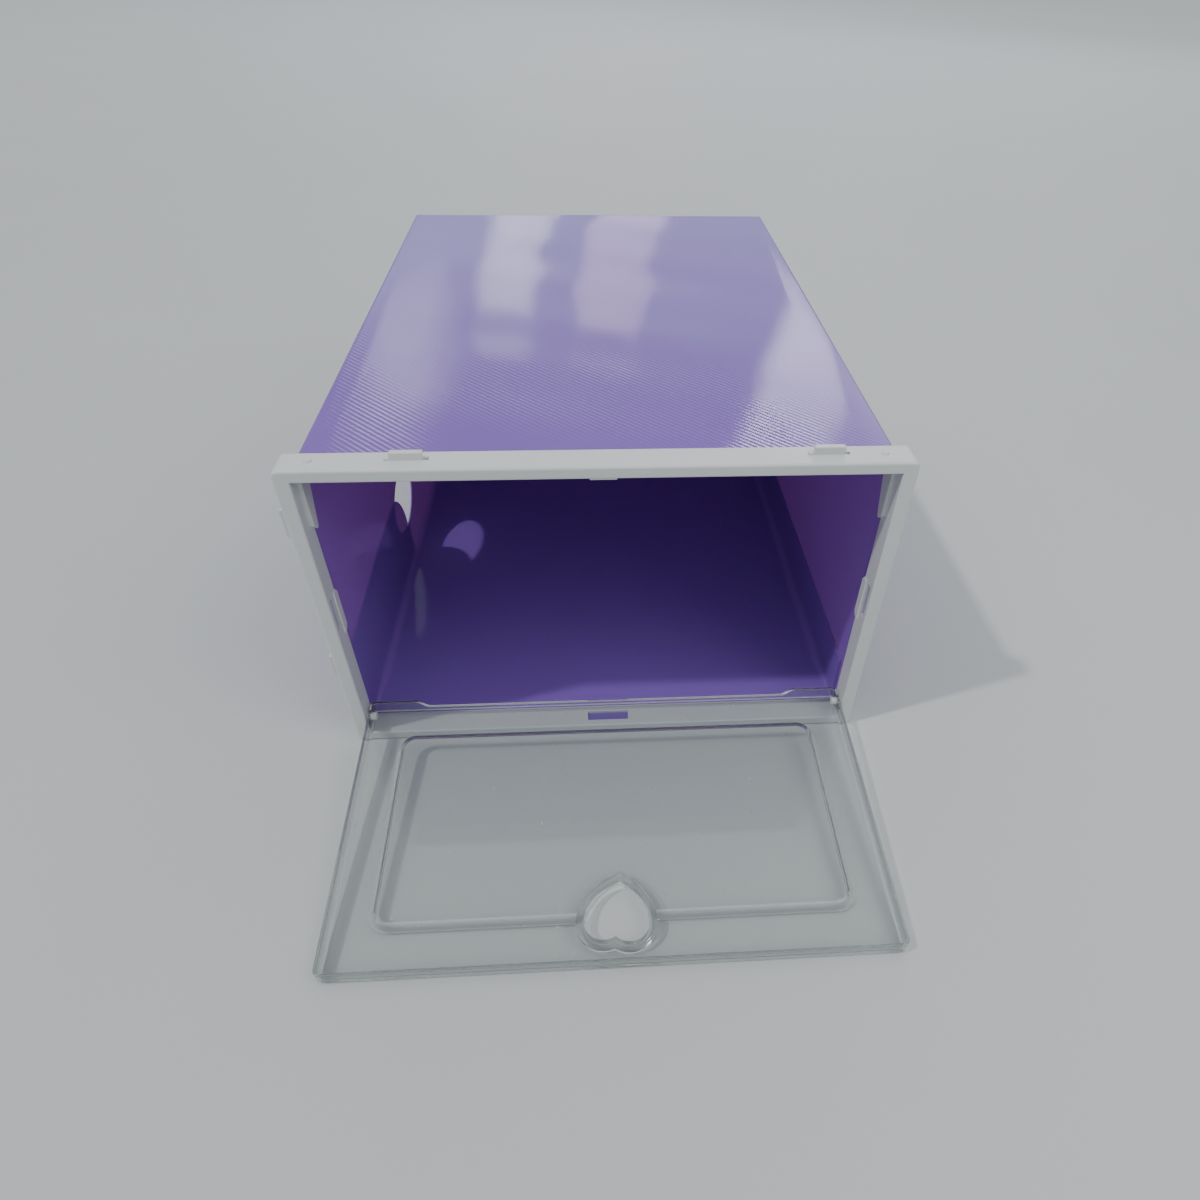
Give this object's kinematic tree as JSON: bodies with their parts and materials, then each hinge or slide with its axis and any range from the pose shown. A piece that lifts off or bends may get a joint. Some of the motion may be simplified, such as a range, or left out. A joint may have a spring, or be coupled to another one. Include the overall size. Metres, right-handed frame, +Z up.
{
  "type": "drop-front shoe box",
  "caption": "Drop-front shoe box: a white moulded front frame on a folded purple plastic-sheet body, closed by a clear hinged flap door with a heart-shaped finger hole.",
  "frame": {"origin": "middle of the underside of the closed box, on the surface that it stands on", "axes": "+X to the right as seen from the front, +Y from the door to the back, +Z up"},
  "size_m": [0.238, 0.4509, 0.145],
  "materials": {
    "white_frame": "satin white moulded plastic",
    "clear_door": "clear glossy moulded plastic",
    "purple_sheet": "glossy slightly see-through purple sheet with a fine diagonal rib on its outside"
  },
  "bodies": {
    "box": {"front_frame": "white_frame", "body_top_panel": "purple_sheet", "body_left_wall": "purple_sheet", "body_right_wall": "purple_sheet", "body_floor": "purple_sheet", "body_back_panel": "purple_sheet", "right_seam_flap": "purple_sheet", "left_seam_flap": "purple_sheet", "back_tuck_flap": "purple_sheet"},
    "door": {"door": "clear_door"}
  },
  "joints": [
    {"name": "door_hinge", "type": "hinge", "parent": "box", "child": "door", "pos_m": [0, -0.16165, 0.0124], "axis": [-1, 0, 0], "range_deg": [0, 93.89]}
  ]
}
